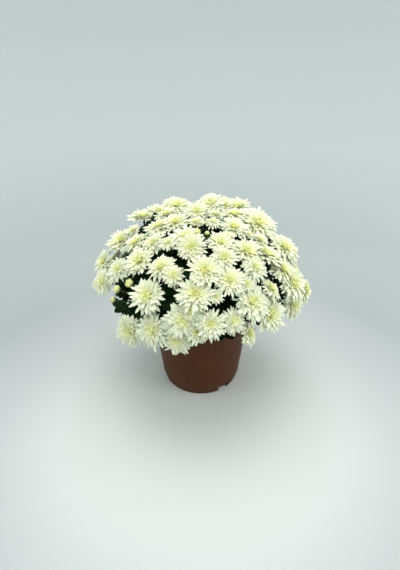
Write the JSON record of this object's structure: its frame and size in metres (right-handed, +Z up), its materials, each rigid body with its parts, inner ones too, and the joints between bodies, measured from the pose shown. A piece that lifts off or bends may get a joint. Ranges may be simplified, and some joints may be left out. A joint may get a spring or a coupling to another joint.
{
  "type": "pot chrysanthemum",
  "caption": "Low domed houseplant with white double flower heads over dark lobed leaves, rooted in a tapered plastic pot that stands on a notched foot.",
  "frame": {"origin": "middle of the pot's foot ring, on the surface that the pot stands on", "axes": "+Z up out of the pot, -Y to the front, which is the side that the flowers are listed from, +X to the right as seen from the front"},
  "size_m": [0.2483, 0.2342, 0.2252],
  "materials": {
    "petals": "matte",
    "greenery": "satin",
    "pot_plastic": "satin",
    "potting_mix": "matte"
  },
  "bodies": {
    "root": {"pot": "pot_plastic", "potting_mix": "potting_mix", "cutting_1": "greenery", "cutting_2": "greenery", "cutting_3": "greenery", "cutting_4": "greenery", "cutting_5": "greenery", "flower_head_01": "petals", "flower_head_02": "petals", "flower_head_03": "petals", "flower_head_04": "petals", "flower_head_05": "petals", "flower_head_06": "petals", "flower_head_07": "petals", "flower_head_08": "petals", "flower_head_09": "petals", "flower_head_10": "petals", "flower_head_11": "petals", "flower_head_12": "petals", "flower_head_13": "petals", "flower_head_14": "petals", "flower_head_15": "petals", "flower_head_16": "petals", "flower_head_17": "petals", "flower_head_18": "petals", "flower_head_19": "petals", "flower_head_20": "petals", "flower_head_21": "petals", "flower_head_22": "petals", "flower_head_23": "petals", "flower_head_24": "petals", "flower_head_25": "petals", "flower_head_26": "petals", "flower_head_27": "petals", "flower_head_28": "petals", "flower_head_29": "petals", "flower_head_30": "petals", "flower_head_31": "petals", "flower_head_32": "petals", "flower_head_33": "petals", "flower_head_34": "petals", "flower_head_35": "petals", "flower_head_36": "petals", "flower_head_37": "petals", "flower_head_38": "petals", "flower_head_39": "petals", "flower_head_40": "petals", "flower_head_41": "petals", "flower_head_42": "petals", "flower_head_43": "petals", "flower_head_44": "petals", "flower_head_45": "petals", "flower_head_46": "petals", "flower_head_47": "petals", "flower_head_48": "petals", "flower_head_49": "petals", "flower_head_50": "petals", "flower_head_51": "petals", "flower_head_52": "petals"}
  },
  "joints": []
}
